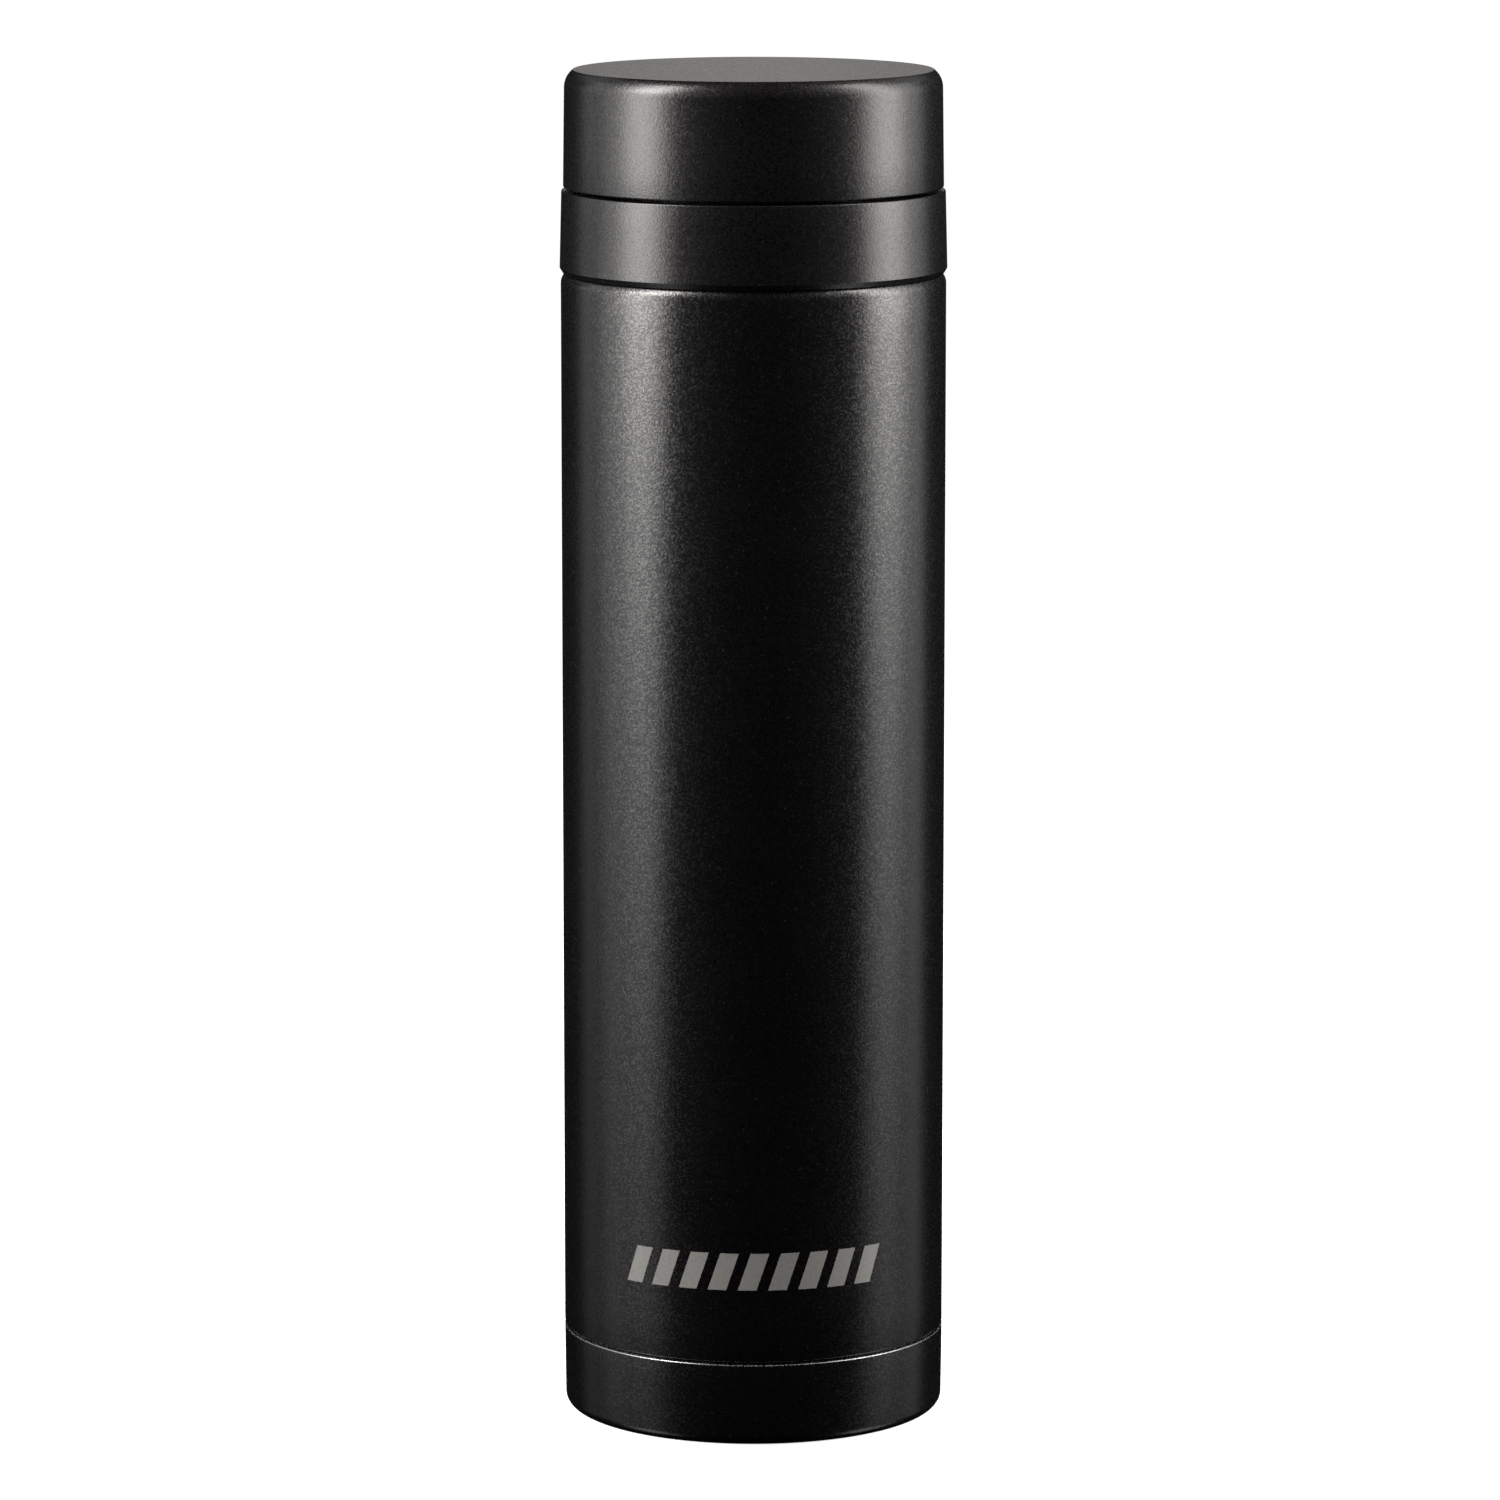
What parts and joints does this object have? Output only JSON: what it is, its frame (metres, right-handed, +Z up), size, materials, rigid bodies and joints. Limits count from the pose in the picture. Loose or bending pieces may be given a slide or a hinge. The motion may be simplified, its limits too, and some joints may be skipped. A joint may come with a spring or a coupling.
{
  "type": "vacuum flask",
  "caption": "Slim straight double-wall steel bottle with a foot cup, a screw-in drinking spout and a flat-topped screw cap, for keeping drinks hot or cold.",
  "frame": {"origin": "centre of the flat ring that the flask stands on", "axes": "+Z up along the axis of the flask; -Y is the front, where the printed mark is"},
  "size_m": [0.0664, 0.0664, 0.233],
  "materials": {
    "body_paint": "fine pear-skin near-black paint with a metallic sparkle",
    "cap_paint": "near-black satin paint over plastic, fine grain",
    "bare_steel": "bare pressed stainless sheet",
    "polished_steel": "electropolished stainless with faint turning lines",
    "foil": "bright thin foil",
    "seal_glass": "fused sealing glass",
    "getter_metal": "dark sintered metal",
    "spout_plastic": "satin moulded black polypropylene",
    "liner_plastic": "satin moulded dark polypropylene",
    "foam": "white expanded foam",
    "silicone": "soft translucent grey silicone",
    "printed_mark": "thin warm-grey printed ink"
  },
  "bodies": {
    "bottle": {"outer_shell": "body_paint", "base_cup": "body_paint", "outer_bottom": "bare_steel", "vacuum_seal": "seal_glass", "getter_clip": "bare_steel", "getter": "getter_metal", "radiation_shield": "foil", "inner_vessel": "polished_steel", "inner_bottom": "polished_steel"},
    "spout_seal": {"spout_gasket": "silicone"},
    "spout": {"spout_body": "spout_plastic", "spout_collar": "cap_paint"},
    "cap_seal": {"cap_gasket": "silicone"},
    "cap": {"cap_shell": "cap_paint", "cap_liner": "liner_plastic", "cap_foam": "foam"}
  },
  "joints": [
    {"name": "spout_lift", "type": "slide", "parent": "bottle", "child": "spout_seal", "axis": [0, 0, 1], "range_m": [0, 0.008]},
    {"name": "spout_turn", "type": "hinge", "parent": "spout_seal", "child": "spout", "pos_m": [0, 0, 0.2], "axis": [0, 0, 1], "range_deg": [0, 720]},
    {"name": "cap_lift", "type": "slide", "parent": "spout", "child": "cap_seal", "axis": [0, 0, 1], "range_m": [0, 0.008]},
    {"name": "cap_turn", "type": "hinge", "parent": "cap_seal", "child": "cap", "pos_m": [0, 0, 0.213], "axis": [0, 0, 1], "range_deg": [0, 720]}
  ],
  "couplings": [
    {"joint": "spout_lift", "follows": "spout_turn", "m_per_rad": 0.00063662},
    {"joint": "cap_lift", "follows": "cap_turn", "m_per_rad": 0.00063662}
  ]
}
